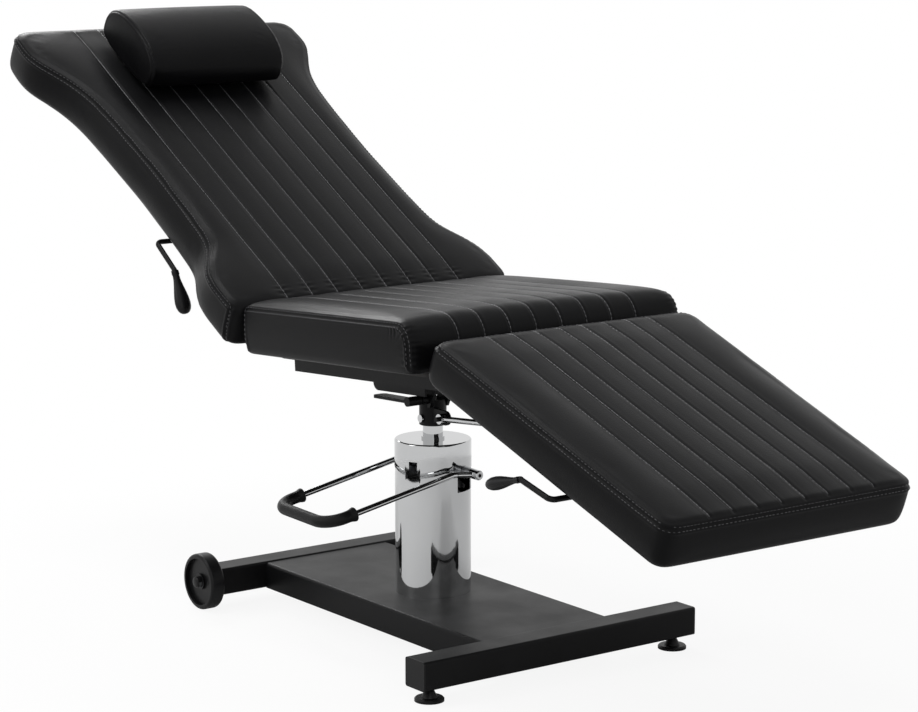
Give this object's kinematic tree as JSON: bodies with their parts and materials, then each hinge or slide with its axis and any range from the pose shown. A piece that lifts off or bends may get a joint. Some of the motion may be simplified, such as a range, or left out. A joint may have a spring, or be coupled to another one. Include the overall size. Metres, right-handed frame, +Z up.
{
  "type": "tattoo chair",
  "caption": "Reclining tattoo chair: channel-stitched back, seat and leg cushions with pillow on a hydraulic swivel column with foot lever, over a steel base with wheels and levelling feet.",
  "frame": {"origin": "on the floor, under the middle of the overall length and width", "axes": "+X towards the foot end, +Y towards the lying person's left, +Z up"},
  "size_m": [1.8048, 0.604, 1.01],
  "materials": {
    "cushion_cover": "satin",
    "pillow_cover": "satin",
    "black_powder_coat": "satin",
    "chrome": "polished",
    "zinc_steel": "satin",
    "black_plastic": "matte",
    "grip_rubber": "matte",
    "wheel_rubber": "matte",
    "pivot_bush": "gloss",
    "board_wood": "matte"
  },
  "bodies": {
    "base": {"base_tray": "black_powder_coat", "front_beam": "black_powder_coat", "rear_beam": "black_powder_coat", "beam_caps": "black_plastic", "wheel_axles": "zinc_steel", "foot_nuts": "chrome", "pump_flange": "black_powder_coat", "flange_bolts": "chrome", "pump_cylinder": "zinc_steel", "reservoir_tube": "black_powder_coat", "column_cover": "chrome", "column_cap": "chrome", "gland_ring": "chrome"},
    "wheel_left": {"wheel_left": "wheel_rubber", "wheel_bush_left": "pivot_bush"},
    "wheel_right": {"wheel_right": "wheel_rubber", "wheel_bush_right": "pivot_bush"},
    "levelling_foot_left": {"levelling_foot_left": "black_plastic"},
    "levelling_foot_right": {"levelling_foot_right": "black_plastic"},
    "foot_lever": {"rocker_yoke": "zinc_steel", "pump_lever": "chrome", "lever_grip": "grip_rubber"},
    "plunger": {"plunger": "zinc_steel"},
    "piston": {"piston_head": "zinc_steel", "piston_rod": "chrome"},
    "seat": {"rod_socket": "black_powder_coat", "socket_bolt": "chrome", "seat_channel": "black_powder_coat", "seat_rail_left": "black_powder_coat", "seat_rail_right": "black_powder_coat", "seat_crossbars": "black_powder_coat", "rear_hinge_lugs": "black_powder_coat", "front_hinge_lugs": "black_powder_coat", "seat_board": "board_wood", "seat_cushion": "cushion_cover"},
    "swivel_lock": {"swivel_lock_lever": "black_powder_coat"},
    "backrest": {"back_rail_left": "black_powder_coat", "back_rail_right": "black_powder_coat", "back_crossbars": "black_powder_coat", "back_hinge_pins": "zinc_steel", "back_crank": "black_powder_coat", "back_board": "board_wood", "back_cushion": "cushion_cover", "pillow": "pillow_cover"},
    "leg_rest": {"leg_rail_left": "black_powder_coat", "leg_rail_right": "black_powder_coat", "leg_crossbars": "black_powder_coat", "leg_hinge_pins": "zinc_steel", "leg_fork": "black_powder_coat", "leg_board": "board_wood", "leg_cushion": "cushion_cover"},
    "back_spring_tube": {"back_spring_cylinder": "black_powder_coat"},
    "back_spring_shaft": {"back_spring_rod": "chrome"},
    "leg_spring_shaft": {"leg_spring_rod": "chrome"},
    "leg_spring_tube": {"leg_spring_cylinder": "black_powder_coat"},
    "back_release": {"back_release_lever": "black_powder_coat", "back_release_grip": "grip_rubber"},
    "leg_release": {"leg_release_lever": "black_powder_coat", "leg_release_grip": "grip_rubber"}
  },
  "joints": [
    {"name": "wheel_left_turn", "type": "hinge", "parent": "base", "child": "wheel_left", "pos_m": [-0.31794, 0.244, 0.0488], "axis": [0, 1, 0], "continuous": true},
    {"name": "wheel_right_turn", "type": "hinge", "parent": "base", "child": "wheel_right", "pos_m": [-0.31794, -0.244, 0.0488], "axis": [0, 1, 0], "continuous": true},
    {"name": "levelling_foot_left_turn", "type": "hinge", "parent": "base", "child": "levelling_foot_left", "pos_m": [0.35556, 0.2478, 0], "axis": [0, 0, 1], "continuous": true},
    {"name": "levelling_foot_right_turn", "type": "hinge", "parent": "base", "child": "levelling_foot_right", "pos_m": [0.35556, -0.2478, 0], "axis": [0, 0, 1], "continuous": true},
    {"name": "foot_lever_press", "type": "hinge", "parent": "base", "child": "foot_lever", "pos_m": [0.02406, 0.022, 0.282], "axis": [0.9989, -0.0471, 0], "range_deg": [0, 22], "stiffness_Nm_per_rad": 9, "springref_deg": -20.05},
    {"name": "plunger_stroke", "type": "slide", "parent": "base", "child": "plunger", "axis": [0, 0, -1], "range_m": [0, 0.0265]},
    {"name": "height", "type": "slide", "parent": "base", "child": "piston", "axis": [0, 0, 1], "range_m": [0, 0.16]},
    {"name": "swivel", "type": "hinge", "parent": "piston", "child": "seat", "pos_m": [0.02406, 0, 0.354], "axis": [0, 0, 1], "continuous": true},
    {"name": "swivel_lock_turn", "type": "hinge", "parent": "seat", "child": "swivel_lock", "pos_m": [0.03606, -0.06, 0.4], "axis": [0, -1, 0], "range_deg": [0, 25]},
    {"name": "backrest_tilt", "type": "hinge", "parent": "seat", "child": "backrest", "pos_m": [-0.17369, 0, 0.54669], "axis": [0, -1, 0], "range_deg": [-40, 33.6]},
    {"name": "leg_rest_tilt", "type": "hinge", "parent": "seat", "child": "leg_rest", "pos_m": [0.37299, 0, 0.53289], "axis": [0, -1, 0], "range_deg": [-35.5, 23.5]},
    {"name": "back_spring_swing", "type": "hinge", "parent": "seat", "child": "back_spring_tube", "pos_m": [0.08606, 0.034, 0.421], "axis": [0, -1, 0], "range_deg": [-2.97, 2.59]},
    {"name": "back_spring_stroke", "type": "slide", "parent": "back_spring_tube", "child": "back_spring_shaft", "axis": [-0.9981, 0, 0.0622], "range_m": [-0.0609, 0.0724]},
    {"name": "leg_spring_swing", "type": "hinge", "parent": "seat", "child": "leg_spring_shaft", "pos_m": [0.07606, -0.02, 0.373], "axis": [0, -1, 0], "range_deg": [-3.06, 2.22]},
    {"name": "leg_spring_stroke", "type": "slide", "parent": "leg_spring_shaft", "child": "leg_spring_tube", "axis": [0.995, 0, 0.0995], "range_m": [-0.0773, 0.0514]},
    {"name": "back_release_pull", "type": "hinge", "parent": "backrest", "child": "back_release", "pos_m": [-0.45482, -0.2, 0.62819], "axis": [0, 1, 0], "range_deg": [0, 12], "stiffness_Nm_per_rad": 2, "springref_deg": -17.19},
    {"name": "leg_release_pull", "type": "hinge", "parent": "leg_rest", "child": "leg_release", "pos_m": [0.6522, -0.2, 0.37332], "axis": [0, 1, 0], "range_deg": [0, 12], "stiffness_Nm_per_rad": 2, "springref_deg": -17.19}
  ],
  "couplings": [
    {"joint": "plunger_stroke", "follows": "foot_lever_press", "m_per_rad": 0.0676},
    {"joint": "back_spring_swing", "follows": "backrest_tilt", "ratio": 0.06},
    {"joint": "back_spring_stroke", "follows": "backrest_tilt", "m_per_rad": -0.103},
    {"joint": "leg_spring_swing", "follows": "leg_rest_tilt", "ratio": 0.07},
    {"joint": "leg_spring_stroke", "follows": "leg_rest_tilt", "m_per_rad": 0.124}
  ]
}
